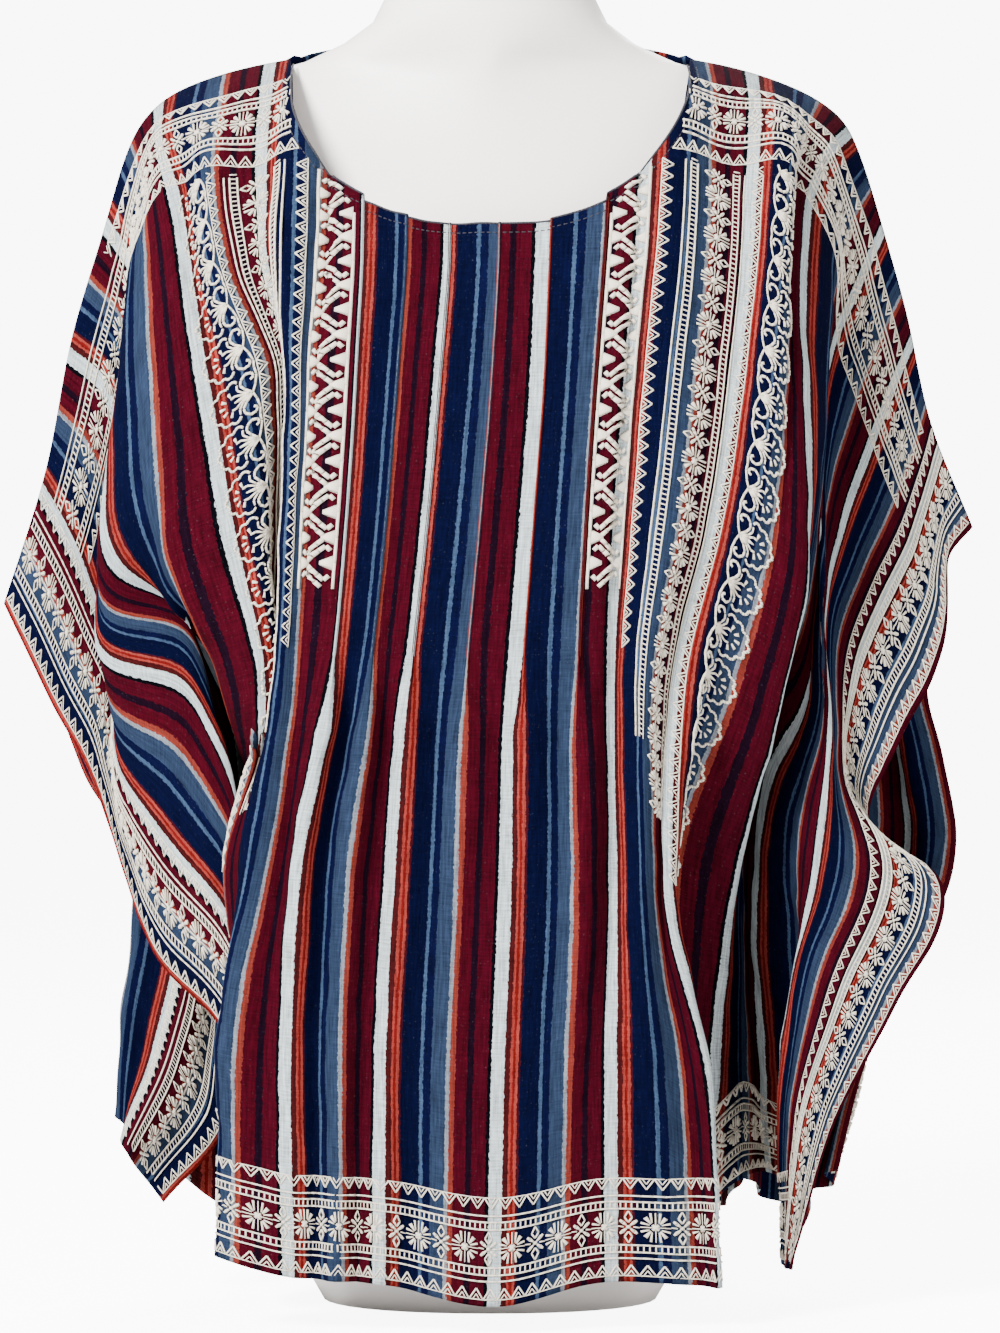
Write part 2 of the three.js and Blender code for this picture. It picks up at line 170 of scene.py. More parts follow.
TOP_EDGE_Z = {
    "left": [713, 708, 701, 691, 675, 653, 626, 548, 480, 399],
    "right": [713, 708, 701, 691, 676, 660, 616, 566, 506, 443],
}
SHARES = [0, 0.06, 0.13, 0.21, 0.31, 0.42, 0.55, 0.7, 0.85, 1]
HALFWAY = 6
# Fold lines: place across the cut, height halfway, height at the hem, sideways, depth
FRONT_FOLDS = [
    (-470, 152, 26, [-266, -250, -229, -210, -190, -146, -126, -124, -126],
     [-12, -24, -36, -48, -58, -66, -66, -60, -56]),
    (-404, 216, 26, [-240, -226, -214, -212, -181, -140, -128, -126, -128],
     [-6, -8, -14, -42, -62, -78, -76, -68, -64]),
    (-340, 277, 30, [-217, -212, -216, -222, -166, -140, -140, -142, -142],
     [-6, -8, -30, -58, -70, -74, -48, -40, -36]),
    (-290, 300, 44, [-206, -206, -213, -220, -166, -150, -142, -140, -140],
     [-8, -14, -44, -66, -60, -45, -16, -12, -12]),
    (-262, 356, 60, [-202, -205, -208, -206, -177, -134, -134, -134, -134],
     [-24, -50, -72, -87, -66, -1.2, -1.2, -1.2, -1.2]),
    (-238, 353, 50, [-197, -194, -190, -185, -181, -153, -134, -133, -133],
     [-28, -56, -78, -93, -98, -80, -22, -20, -20]),
    (-212, 351, 42, [-189, -178, -169, -157, -143, -124, -131, -130, -130],
     [-34, -62, -82, -97, -106, -104, -52, -44, -44]),
    (-166, 349, 38, [-145, -147, -140, -117, -115, -124, -149, -126, -118],
     [-36, -68, -88, -97, -94, -90, -92, -78, -80]),
    (-146, 349, 38, [-126, -127, -125, -106, -103, -109, -139, -137, -134],
     [-38, -71, -92, -94, -88, -94, -106, -100, -98]),
    (-126, 349, 40, [-108, -109, -109, -108, -111, -115, -131, -147, -151],
     [-40, -74, -98, -110, -116, -118, -116, -114, -114]),
    (-84, 348, 30, [-71, -70, -70, -73, -78, -87, -106, -111, -109],
     [-40, -76, -100, -113, -118, -122, -126, -128, -130]),
    (-20, 348, 27, [-26, -25, -25, -30, -37, -47, -55, -60, -60],
     [-38, -72, -98, -112, -117, -120, -124, -126, -134]),
    (44, 348, 15, [30, 29, 27, 24, 18, 11, 8, 4, 2],
     [-38, -72, -98, -112, -117, -120, -122, -128, -138]),
    (108, 348, 27, [91, 88, 84, 77, 71, 66, 68, 66, 66],
     [-40, -76, -100, -113, -118, -120, -120, -122, -124]),
    (172, 352, 22, [150, 147, 144, 136, 124, 103, 97, 119, 127],
     [-38, -70, -92, -104, -112, -116, -118, -118, -118]),
    (205, 348, 40, [178, 170, 164, 160, 150, 126, 98, 103, 108],
     [-36, -68, -88, -100, -104, -98, -84, -82, -84]),
    (236, 334, 56, [190, 178, 174, 176, 177, 162, 140, 128, 124],
     [-32, -60, -80, -94, -100, -92, -62, -46, -42]),
    (262, 350, 68, [200, 194, 190, 186, 176, 146, 144, 144, 144],
     [-24, -44, -56, -62, -52, -1.2, -1.2, -1.2, -1.2]),
    (300, 280, 74, [211, 194, 188, 186, 182, 156, 152, 156, 160],
     [-14, -18, -34, -54, -52, -22, -16, -18, -20]),
    (332, 264, 58, [220, 205, 192, 187, 186, 172, 176, 178, 182],
     [-11, -17, -36, -60, -68, -54, -42, -40, -40]),
    (364, 252, 30, [230, 216, 200, 188, 190, 184, 168, 162, 164],
     [-8, -22, -34, -56, -68, -66, -72, -70, -66]),
    (428, 248, 26, [251, 241, 224, 206, 200, 226, 198, 174, 166],
     [-10, -24, -42, -56, -46, -48, -72, -72, -70]),
    (470, 234, 26, [262, 261, 252, 230, 214, 258, 226, 190, 167],
     [-12, -26, -40, -52, -36, -40, -70, -74, -72]),
]
BACK_FOLDS = [
    (-470, 225, 54, [-268, -258, -246, -232, -206, -172, -148, -150, -188],
     [4, 6, 6, 4, 2, 4, 5, 3, -2]),
    (-420, 250, 86, [-250, -244, -238, -228, -212, -192, -174, -186, -210],
     [8, 12, 14, 14, 12, 6, 0, -4, -8]),
    (-365, 275, 104, [-236, -230, -224, -218, -212, -206, -208, -214, -216],
     [12, 20, 28, 32, 30, 22, 14, 8, 4]),
    (-330, 285, 48, [-226, -218, -214, -208, -190, -168, -160, -158, -158],
     [12, 22, 34, 44, 46, 34, 30, 32, 34]),
    (-262, 356, 60, [-200, -190, -182, -170, -152, -134, -134, -134, -134],
     [24, 44, 56, 60, 44, 1.2, 1.2, 1.2, 1.2]),
    (-212, 352, 42, [-190, -184, -172, -158, -142, -130, -130, -131, -132],
     [30, 54, 72, 80, 74, 50, 44, 44, 46]),
    (-170, 350, 36, [-150, -147, -140, -130, -124, -122, -124, -126, -128],
     [34, 62, 80, 88, 88, 84, 80, 80, 82]),
    (-85, 346, 28, [-74, -73, -72, -72, -73, -75, -77, -79, -80],
     [60, 84, 98, 102, 98, 94, 90, 88, 90]),
    (0, 347, 22, [0, 0, 0, 1, 2, 2, 3, 4, 4],
     [76, 96, 108, 114, 116, 116, 118, 122, 128]),
    (85, 346, 30, [74, 73, 72, 73, 75, 78, 80, 82, 82],
     [60, 84, 98, 102, 100, 96, 94, 90, 92]),
    (170, 350, 40, [150, 147, 140, 132, 128, 127, 128, 130, 132],
     [34, 62, 80, 88, 88, 86, 84, 86, 88]),
    (212, 352, 46, [190, 184, 172, 160, 148, 134, 134, 135, 136],
     [30, 54, 72, 80, 74, 50, 44, 44, 46]),
    (262, 350, 68, [200, 192, 184, 176, 160, 146, 144, 144, 144],
     [24, 44, 56, 60, 44, 1.2, 1.2, 1.2, 1.2]),
    (330, 290, 50, [222, 214, 208, 202, 192, 178, 172, 170, 168],
     [14, 26, 38, 48, 52, 40, 34, 34, 36]),
    (400, 270, 58, [236, 230, 226, 224, 226, 228, 218, 204, 190],
     [14, 24, 32, 38, 38, 34, 28, 22, 18]),
    (470, 262, 72, [264, 256, 250, 252, 262, 270, 250, 220, 200],
     [8, 14, 18, 20, 20, 18, 10, 4, 0]),
]
ACROSS_STEP = 1.0
DOWN_STEPS = 370
TUCKS = [-84, -50, -16, 18, 52, 86]
TUCK_PITCH = 34
TUCK_TAKEN = 6.6
TUCKED_HALF_WIDTH = 104
TUCK_END = 385
TUCK_OPENING = 45
TUCK_HEIGHT = 1.3
PLEAT_HEIGHT = 2.6
LOOSE_FOLD_PITCH = 58
SEAM_BLEND = 0.06
SOFTENING = 40


def smooth_curve(at, values, places):
    """Values at new places along the last axis; a curve that turns only at its given points."""
    at = np.asarray(at, float)
    values = np.asarray(values, float)
    rate = np.diff(values, axis=-1) / np.diff(at)
    before, after = rate[..., :-1], rate[..., 1:]
    same = before * after > 0
    total = np.where(same, before + after, 1)
    inner = np.where(same, 2 * before * after / total, 0)
    slope = np.concatenate([rate[..., :1], inner, rate[..., -1:]], axis=-1)
    i = np.clip(np.searchsorted(at, places, side="right") - 1, 0, len(at) - 2)
    span = at[i + 1] - at[i]
    k = (places - at[i]) / span
    return (
        (2 * k**3 - 3 * k**2 + 1) * values[..., i]
        + (k**3 - 2 * k**2 + k) * span * slope[..., i]
        + (3 * k**2 - 2 * k**3) * values[..., i + 1]
        + (k**3 - k**2) * span * slope[..., i + 1]
    )


def length_at(u):
    out = np.maximum(0, np.abs(u) - HALF_NECK_CUT) / (HALF_CUT_WIDTH - HALF_NECK_CUT)
    return BODY_LENGTH - (BODY_LENGTH - CUFF_LENGTH) * out


def neck_drop(u, depth):
    across = np.minimum(np.abs(u) / HALF_NECK_CUT, 1)
    return depth * (1 - across**NECK_ROUNDNESS) ** (1 / NECK_ROUNDNESS)


def top_edge(u, back):
    side = abs(u)
    if side >= HALF_NECK_CUT:
        name = "left" if u < 0 else "right"
        x = smooth_curve(TOP_EDGE_PLACES[name], TOP_EDGE_X[name], np.array([side]))[0]
        z = smooth_curve(TOP_EDGE_PLACES[name], TOP_EDGE_Z[name], np.array([side]))[0]
        return x, SEAM_HALF_GAP if back else -SEAM_HALF_GAP, z
    rise = 1 - (side / HALF_NECK_CUT) ** 2
    x = u * HALF_NECK_WORN / HALF_NECK_CUT
    if back:
        return x, SEAM_HALF_GAP + 50 * rise, NECK_POINT_HEIGHT + BACK_NECK_RISE * rise**0.6
    return x, -SEAM_HALF_GAP, NECK_POINT_HEIGHT


def fold_line(fold, back, shares):
    u, mid, hem, x, y = fold
    top = top_edge(u, back)
    x = smooth_curve(SHARES, [top[0], *x], shares)
    y = smooth_curve(SHARES, [top[1], *y], shares)
    run = length_at(u) / (len(shares) - 1)
    fall = np.sqrt(np.maximum(run**2 - np.diff(x) ** 2 - np.diff(y) ** 2, 0.05 * run**2))
    fallen = np.concatenate([[0], np.cumsum(fall)])
    half = np.interp(SHARES[HALFWAY], shares, fallen)
    upper = top[2] - (top[2] - mid) * fallen / half
    lower = mid - (mid - hem) * (fallen - half) / (fallen[-1] - half)
    return np.stack([x, y, np.where(fallen <= half, upper, lower)])


def soften(points, times):
    """Rounds the folds off, leaving the edges of the lattice where they are."""
    for _ in range(times):
        points[1:-1] = 0.25 * points[:-2] + 0.5 * points[1:-1] + 0.25 * points[2:]
        points[:, 1:-1] = 0.25 * points[:, :-2] + 0.5 * points[:, 1:-1] + 0.25 * points[:, 2:]
    return points


def lattice_normals(points, outward):
    across = np.gradient(points, axis=0)
    down = np.gradient(points, axis=1)
    normal = np.cross(across, down) * outward
    return normal / np.maximum(np.linalg.norm(normal, axis=2, keepdims=True), 1e-9)


def tuck_hold(drop):
    """How much of each tuck is still sewn down: all of it, easing to none below its end."""
    return np.clip((TUCK_END + TUCK_OPENING - drop) / TUCK_OPENING, 0, 1)


def take_into_tucks(u, drop):
    nearest = np.asarray(TUCKS)[np.argmin(np.abs(u[..., None] - TUCKS), axis=-1)]
    off = u - nearest
    half, taken = TUCK_PITCH / 2, TUCK_TAKEN / 2
    hold = tuck_hold(drop) * (np.abs(off) < half)
    spread = np.where(
        np.abs(off) > taken,
        np.sign(off) * (np.abs(off) - taken - 0.6) * half / (half - taken - 0.6),
        off * 0.01,
    )
    ridge = TUCK_HEIGHT * np.clip(1.15 - np.abs(off) / taken, 0, 1) * hold
    return nearest + off + hold * (spread - off), ridge


class Drape:
    """The worn shape of one panel: a fine lattice over the cut, read between its points."""

    def __init__(self, folds, back, softness):
        self.places = np.arange(-HALF_CUT_WIDTH, HALF_CUT_WIDTH + 0.5, ACROSS_STEP)
        self.shares = np.linspace(0, 1, DOWN_STEPS + 1)
        lines = np.stack([fold_line(fold, back, self.shares) for fold in folds])
        columns = [fold[0] for fold in folds]
        points = smooth_curve(columns, np.moveaxis(lines, 0, -1), self.places)
        top = np.array([top_edge(u, back) for u in self.places])
        self.points = np.moveaxis(points, (0, 1, 2), (2, 1, 0))
        blend = np.clip(1 - self.shares / SEAM_BLEND, 0, 1)[None, :, None] ** 2
        self.points = self.points + (top[:, None, :] - self.points[:, :1, :]) * blend
        self.points = soften(self.points, softness)
        self.back = back
        self.outward = 1 if back else -1
        self.normals = lattice_normals(self.points, self.outward)

    def raise_by(self, height):
        """Moves the cloth out along its normals by a height for each lattice point."""
        self.points = self.points + self.normals * height[..., None]
        self.normals = lattice_normals(self.points, self.outward)

    def hang_spare_cloth(self, tucked, limit):
        """Hangs cloth that the broad folds leave over in soft upright folds, as deep as it needs."""
        used = np.linalg.norm(np.gradient(self.points, ACROSS_STEP, axis=0), axis=2)
        for axis, reach in ((0, 30), (1, 24)):
            window = np.ones(2 * reach + 1) / (2 * reach + 1)
            used = np.apply_along_axis(
                lambda line: np.convolve(np.pad(line, reach, "edge"), window, "valid"), axis, used
            )
        used = used * (1 + tucked * (TUCK_PITCH / (TUCK_PITCH - TUCK_TAKEN) - 1))
        slope = np.sqrt(np.clip(2 * (1 - used**2), 0, 1.5))
        pitch = np.where(np.abs(self.places) < TUCKED_HALF_WIDTH, TUCK_PITCH, LOOSE_FOLD_PITCH)
        turns = np.cumsum(ACROSS_STEP / pitch)
        turns = (turns - np.interp(TUCKS[0], self.places, turns) + 0.25)[:, None]
        lean = 0.16 * np.sin(self.shares[None, :] * 7 + self.places[:, None] / 90)
        depth = np.minimum(slope * pitch[:, None] / (2 * math.pi), limit)
        depth = depth * np.clip(self.shares / 0.12, 0, 1) * (1 - 0.9 * tucked)
        self.raise_by(depth * np.sin(2 * math.pi * (turns + lean * (1 - tucked))))

    def at(self, u, drop, height):
        """Points in metres for places on the cut, raised off the cloth by a height."""
        if not self.back:
            u, ridge = take_into_tucks(u, drop)
            height = height + ridge
        i = np.clip((u + HALF_CUT_WIDTH) / ACROSS_STEP, 0, len(self.places) - 1.001)
        j = np.clip(drop / length_at(u), 0, 1) * DOWN_STEPS
        j = np.minimum(j, DOWN_STEPS - 0.001)
        a, b = i.astype(int), j.astype(int)
        p, q = (i - a)[..., None], (j - b)[..., None]

        def read(field):
            near = field[a, b] * (1 - q) + field[a, b + 1] * q
            far = field[a + 1, b] * (1 - q) + field[a + 1, b + 1] * q
            return near * (1 - p) + far * p

        return (read(self.points) + read(self.normals) * height[..., None]) * MM


def crinkle(drape, seed):
    """Light wrinkles of washed cotton: a dozen slight waves, more upright than level."""
    random = np.random.default_rng(seed)
    height = np.zeros((len(drape.places), DOWN_STEPS + 1))
    u = drape.places[:, None]
    drop = drape.shares[None, :] * length_at(u)
    for _ in range(14):
        wave = random.uniform(22, 85)
        tilt = random.normal(0, 0.45)
        phase, bend = random.uniform(0, 2 * math.pi, 2)
        across = u * math.cos(tilt) + drop * math.sin(tilt) + 9 * np.sin(drop / 70 + bend)
        height += wave * 0.0045 * np.sin(2 * math.pi * across / wave + phase)
    return height * np.clip(drape.shares / 0.1, 0.1, 1)


front_drape = Drape(FRONT_FOLDS, False, SOFTENING)
back_drape = Drape(BACK_FOLDS, True, SOFTENING)
down = front_drape.shares[None, :] * length_at(front_drape.places)[:, None]
inside = np.abs(front_drape.places)[:, None] < TUCKED_HALF_WIDTH
tucked = inside * tuck_hold(down)
on_body = np.clip((250 - np.abs(front_drape.places)) / 40, 0, 1)[:, None]
front_drape.hang_spare_cloth(tucked, 1 + 5 * on_body)
back_drape.hang_spare_cloth(np.zeros_like(down), 5 + 6 * on_body)
off_tuck = np.abs(np.subtract.outer(front_drape.places, TUCKS)).min(axis=1)[:, None]
let_out = np.clip((down - TUCK_END + 20) / 45, 0, 1) * np.exp(-np.maximum(down - TUCK_END, 0) / 190)
front_drape.raise_by(PLEAT_HEIGHT * np.exp(-((off_tuck / 7) ** 2)) * let_out * inside)
front_drape.raise_by(crinkle(front_drape, 3))
back_drape.raise_by(crinkle(back_drape, 8))

# Striped cloth: plain-weave cotton, its warp dyed before weaving in a 64 mm repeat of grey-white,
# rust, navy, blues, orange and wine, a little slubby and heathered. Matt, with a light crinkle.
REPEAT = 64
WHITE_STRIPE_AT = 44
DRIFT_FROM = 230
STRIPE_DRIFT = (10, 0, 0, 4)
STRIPE_WANDER = 0.014
STRIPE_FUZZ = 0.032
REPEATS_BEFORE_ZERO = 8
# Stripes: share of the repeat, colour
STRIPES = [
    (0.0575, (0.32, 0.36, 0.37)),
    (0.045, (0.028, 0.0031, 0.0035)),
    (0.02, (0.165, 0.0210, 0.0170)),
    (0.025, (0.090, 0.0040, 0.0038)),
    (0.02, (0.170, 0.0240, 0.0190)),
    (0.02, (0.026, 0.0020, 0.0040)),
    (0.165, (0.0008, 0.0013, 0.0115)),
    (0.03, (0.024, 0.042, 0.080)),
    (0.065, (0.0012, 0.0018, 0.0150)),
    (0.12, (0.0125, 0.0210, 0.043)),
    (0.032, (0.120, 0.130, 0.150)),
    (0.04, (0.115, 0.0170, 0.0120)),
    (0.10, (0.030, 0.0009, 0.0040)),
    (0.05, (0.0045, 0.0008, 0.0040)),
    (0.12, (0.029, 0.0009, 0.0042)),
    (0.03, (0.0006, 0.0006, 0.0016)),
]
HEATHER_DARK = 0.42
HEATHER_LIGHT = 1.6
FLECK = (0.30, 0.32, 0.36, 1)
FLECK_AMOUNT = 0.10
THREADS_ACROSS = 38
CLOTH_THICKNESS = 1.1
FRONT_COLUMNS = 250
FRONT_DROPS = 180
BACK_COLUMNS = 170
BACK_DROPS = 120

striped_cloth, nodes, links, shader = new_material("striped_cloth")
cut = nodes.new("ShaderNodeUVMap")
cut.uv_map = "Cut"
cut = cut.outputs["UV"]
split = nodes.new("ShaderNodeSeparateXYZ")
links.new(cut, split.inputs["Vector"])
wander = noise(nodes, links, cut, 1.0, 3, (14, 3.2, 1))
fuzz = noise(nodes, links, cut, 1.0, 3, (90, 26, 1))
shift = math_node(nodes, links, "MULTIPLY_ADD", wander, STRIPE_WANDER, -STRIPE_WANDER / 2)
shift = math_node(nodes, links, "MULTIPLY_ADD", fuzz, STRIPE_FUZZ, shift)
along = math_node(nodes, links, "ADD", split.outputs["X"], shift)
first_white = STRIPE_FUZZ / 2 + WHITE_STRIPE_AT / REPEAT - REPEATS_BEFORE_ZERO
along = math_node(nodes, links, "SUBTRACT", along, first_white)
along = math_node(nodes, links, "FRACT", along)
ramp = nodes.new("ShaderNodeValToRGB")
ramp.color_ramp.interpolation = "CONSTANT"
total = sum(width for width, _ in STRIPES) + STRIPES[0][0]
start = 0.0
for index, (width, colour) in enumerate([*STRIPES, STRIPES[0]]):
    if index < 2:
        stop = ramp.color_ramp.elements[index]
        stop.position = start
    else:
        stop = ramp.color_ramp.elements.new(start)
    stop.color = (*colour, 1)
    start += width / total
links.new(along, ramp.inputs["Fac"])
slub = noise(nodes, links, cut, 1.0, 3, (58, 3.5, 1))
weft = noise(nodes, links, cut, 1.0, 3, (6, 64, 1))
speck = noise(nodes, links, cut, 1.0, 2, (64, 50, 1))
mixed = math_node(nodes, links, "MULTIPLY_ADD", weft, 0.4, math_node(nodes, links, "MULTIPLY", slub, 0.6))
heather = remapped(nodes, links, mixed, 0.3, 0.7, HEATHER_DARK, HEATHER_LIGHT)
tone = nodes.new("ShaderNodeCombineColor")
for channel in range(3):
    links.new(heather, tone.inputs[channel])
colour = mix_colour(nodes, links, 1.0, ramp.outputs["Color"], tone.outputs["Color"], "MULTIPLY")
flecks = remapped(nodes, links, speck, 0.66, 0.8, 0.0, FLECK_AMOUNT)
colour = mix_colour(nodes, links, flecks, colour, FLECK)
links.new(colour, shader.inputs["Base Color"])
shader.inputs["Roughness"].default_value = 0.92
shader.inputs["Specular IOR Level"].default_value = 0.02


def weave_wave(coords, threads_across, direction):
    wave = nodes.new("ShaderNodeTexWave")
    wave.wave_type = "BANDS"
    wave.bands_direction = direction
    wave.inputs["Scale"].default_value = threads_across
    wave.inputs["Distortion"].default_value = 1.2
    wave.inputs["Detail"].default_value = 1.0
    wave.inputs["Detail Scale"].default_value = 0.4
    links.new(coords, wave.inputs["Vector"])
    return wave.outputs["Fac"]


warp = weave_wave(cut, THREADS_ACROSS, "X")
woof = weave_wave(cut, THREADS_ACROSS, "Y")
cloth_grain = math_node(nodes, links, "ADD", warp, woof)
washed = noise(nodes, links, cut, 1.0, 4, (9, 4, 1))
puckers = noise(nodes, links, cut, 1.0, 3, (26, 13, 1))
rough_normal = bump(nodes, links, washed, 0.0012, 0.6)
rough_normal = bump(nodes, links, puckers, 0.0006, 0.6, rough_normal)
links.new(bump(nodes, links, cloth_grain, 0.00025, 0.55, rough_normal), shader.inputs["Normal"])


def cloth_panel(name, drape, columns, down, neck_depth, back):
    """A flat cut of cloth with flat UVs, hung as the drape says and given its thickness."""
    across = len(columns) - 1
    bm = bmesh.new()
    bmesh.ops.create_grid(bm, x_segments=across, y_segments=down, size=0.5)
    for face in bm.faces:
        face.smooth = True
    if back:
        bmesh.ops.reverse_faces(bm, faces=bm.faces)
    mesh = bpy.data.meshes.new(name)
    bm.to_mesh(mesh)
    bm.free()
    flat = np.empty(len(mesh.vertices) * 3, np.float32)
    mesh.vertices.foreach_get("co", flat)
    flat = flat.reshape(-1, 3)
    u = columns[np.round((flat[:, 0] + 0.5) * across).astype(int)]
    start = neck_drop(u, neck_depth)
    share = np.round((0.5 - flat[:, 1]) * down) / down
    drop = start + (length_at(u) - start) * share
    worn = drape.at(u, drop, np.zeros_like(u))
    mesh.vertices.foreach_set("co", worn.astype(np.float32).ravel())
    corner = np.empty(len(mesh.loops), np.int32)
    mesh.loops.foreach_get("vertex_index", corner)
    uv = mesh.uv_layers.new(name="Cut")
    dyed = u + np.interp(u, (-HALF_CUT_WIDTH, -DRIFT_FROM, DRIFT_FROM, HALF_CUT_WIDTH), STRIPE_DRIFT)
    uv.data.foreach_set("uv", np.stack([dyed, drop], 1)[corner].astype(np.float32).ravel() / REPEAT)
    mesh.update()
    piece = place_piece(name, mesh, striped_cloth)
    wall = piece.modifiers.new("Thickness", "SOLIDIFY")
    wall.thickness = CLOTH_THICKNESS * MM
    wall.offset = 0
    return piece


even = np.linspace(-HALF_CUT_WIDTH, HALF_CUT_WIDTH, FRONT_COLUMNS + 1)
beside_tucks = np.add.outer(TUCKS, np.array([-0.51, -0.3, 0, 0.3, 0.51]) * TUCK_TAKEN).ravel()
clear = np.abs(np.subtract.outer(even, beside_tucks)).min(axis=1) > 1.0
front_columns = np.sort(np.concatenate([even[clear], beside_tucks]))
back_columns = np.linspace(-HALF_CUT_WIDTH, HALF_CUT_WIDTH, BACK_COLUMNS + 1)

# Front panel: the scooped neckline, six pintucks and both wings' front halves, in one flat piece.
# Its cut area, and the back's, is the whole width less the sloped corners and the scoop.
neck_places = np.linspace(-HALF_NECK_CUT, HALF_NECK_CUT, 400)
front_scoop = neck_drop(neck_places, FRONT_NECK_DEPTH).mean() * 2 * HALF_NECK_CUT * MM * MM
back_scoop = neck_drop(neck_places, BACK_NECK_DEPTH).mean() * 2 * HALF_NECK_CUT * MM * MM
front_cloth = cloth_panel("front_cloth", front_drape, front_columns, FRONT_DROPS, FRONT_NECK_DEPTH, False)
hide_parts("front_panel")

# Back panel: the same width and length of the same cloth, with a shallow neckline and no tucks,
# joined to the front along the shoulders and at the side seams inside the wings.
back_cloth = cloth_panel("back_cloth", back_drape, back_columns, BACK_DROPS, BACK_NECK_DEPTH, True)
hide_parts("back_panel")

# Embroidery: off-white cotton satin stitch, machine-worked on the outside through the cloth. Each
# border is a zigzag, a line, a ladder, flowers, then the same mirrored, raised by about 0.8 mm.
STITCH_BASE = 0.45
THREAD_LIGHT = (0.66, 0.59, 0.48, 1)
THREAD_DARK = (0.52, 0.46, 0.37, 1)
CHEVRON_PITCH = 7.6
LADDER_PITCH = 2.75
LINE_STEP = 5.5
FLOWER_PITCH = 25.4
# Bars of stitching: along, across at one end, then at the other, width at each end, height
CHEVRON = [
    (0.0, 0.0, 3.8, 6.0, 0.9, 0.9, 0.8),
    (3.8, 6.0, 7.6, 0.0, 0.9, 0.9, 0.8),
    (1.9, 0.0, 3.8, 3.0, 0.6, 0.6, 0.6),
    (3.8, 3.0, 5.7, 0.0, 0.6, 0.6, 0.6),
    (-0.2, 0.0, 7.8, 0.0, 0.7, 0.7, 0.6),
]
LADDER = [
    (-0.2, 0.6, 5.7, 0.6, 1.0, 1.0, 0.9),
    (-0.2, 4.6, 5.7, 4.6, 1.0, 1.0, 0.9),
    (0.7, 0.6, 0.7, 4.6, 0.8, 0.8, 0.6),
    (3.45, 0.6, 3.45, 4.6, 0.8, 0.8, 0.6),
]
LINE = [(-0.2, 0.0, 5.7, 0.0, 1.0, 1.0, 0.9)]
QUARTER_PETALS = [
    (1.7, 2.6, 2.3, 8.1, 0.8, 1.3, 0.9),
    (2.1, 2.0, 4.8, 5.6, 1.0, 2.3, 1.1),
    (2.7, 1.4, 6.9, 2.5, 0.8, 1.3, 0.9),
]
SQUARE_FLOWER = [
    (-1.5, -1.5, 1.5, 1.5, 1.6, 1.6, 1.2),
    (-1.5, 1.5, 1.5, -1.5, 1.6, 1.6, 1.2),
    (0.0, -8.4, 0.0, 8.4, 0.6, 0.6, 0.7),
    (-7.2, 0.0, 7.2, 0.0, 0.6, 0.6, 0.7),
]
ROUND_PETAL = [
    (0.9, 0.9, 2.8, 2.5, 0.9, 2.0, 1.1),
    (2.8, 2.5, 4.3, 3.8, 2.0, 1.2, 1.1),
]
STAR_FLOWER = [
    (-1.1, 0.0, 1.1, 0.0, 2.0, 2.0, 1.2),
    (0.0, 2.6, 1.9, 5.4, 1.0, 0.9, 0.9),
    (1.9, 5.4, 0.0, 9.0, 0.9, 0.8, 0.9),
    (0.0, 2.6, -1.9, 5.4, 1.0, 0.9, 0.9),
    (-1.9, 5.4, 0.0, 9.0, 0.9, 0.8, 0.9),
    (0.0, -2.6, 1.9, -5.4, 1.0, 0.9, 0.9),
    (1.9, -5.4, 0.0, -9.0, 0.9, 0.8, 0.9),
    (0.0, -2.6, -1.9, -5.4, 1.0, 0.9, 0.9),
    (-1.9, -5.4, 0.0, -9.0, 0.9, 0.8, 0.9),
    (-5.4, 0.4, -2.4, 0.0, 0.6, 0.9, 0.7),
    (2.4, 0.0, 5.4, -0.4, 0.9, 0.6, 0.7),
]


def mirrored(bars, along=1, across=1):
    return [
        (a0 * along, b0 * across, a1 * along, b1 * across, w0, w1, h)
        for a0, b0, a1, b1, w0, w1, h in bars
    ]


def all_quarters(bars):
    return [bar for a in (1, -1) for b in (1, -1) for bar in mirrored(bars, a, b)]


def repeated(bars, pitch, start, end, across, turned=1):
    """A motif repeated along a row; a row turned over has its base on the far side."""
    bars = np.array(bars)
    count = max(int((end - start) / pitch), 0)
    out = np.repeat(bars[None], count, 0)
    out[:, :, [0, 2]] += (start + pitch * np.arange(count))[:, None, None]
    out[:, :, [1, 3]] = across + turned * out[:, :, [1, 3]]
    return out.reshape(-1, 7)


FLOWERS = [
    (a0 + shift, b0, a1 + shift, b1, w0, w1, h)
    for shift, flower in (
        (FLOWER_PITCH / 4, SQUARE_FLOWER + all_quarters(QUARTER_PETALS)),
        (FLOWER_PITCH * 3 / 4, STAR_FLOWER + all_quarters(ROUND_PETAL)),
    )
    for a0, b0, a1, b1, w0, w1, h in flower
]


def border(start, end, centre):
    """The seven rows of a border, start and end given for each row's own place across."""
    rows = []
    for side in (-1, 1):
        for motif, pitch, off in (
            (CHEVRON, CHEVRON_PITCH, 27.4), (LINE, LINE_STEP, 17.6), (LADDER, 2 * LADDER_PITCH, 14.8)
        ):
            across = centre + side * off
            rows.append(repeated(motif, pitch, start(across), end(across), across, -side))
    rows.append(repeated(FLOWERS, FLOWER_PITCH, start(centre), end(centre), centre))
    return np.concatenate(rows)


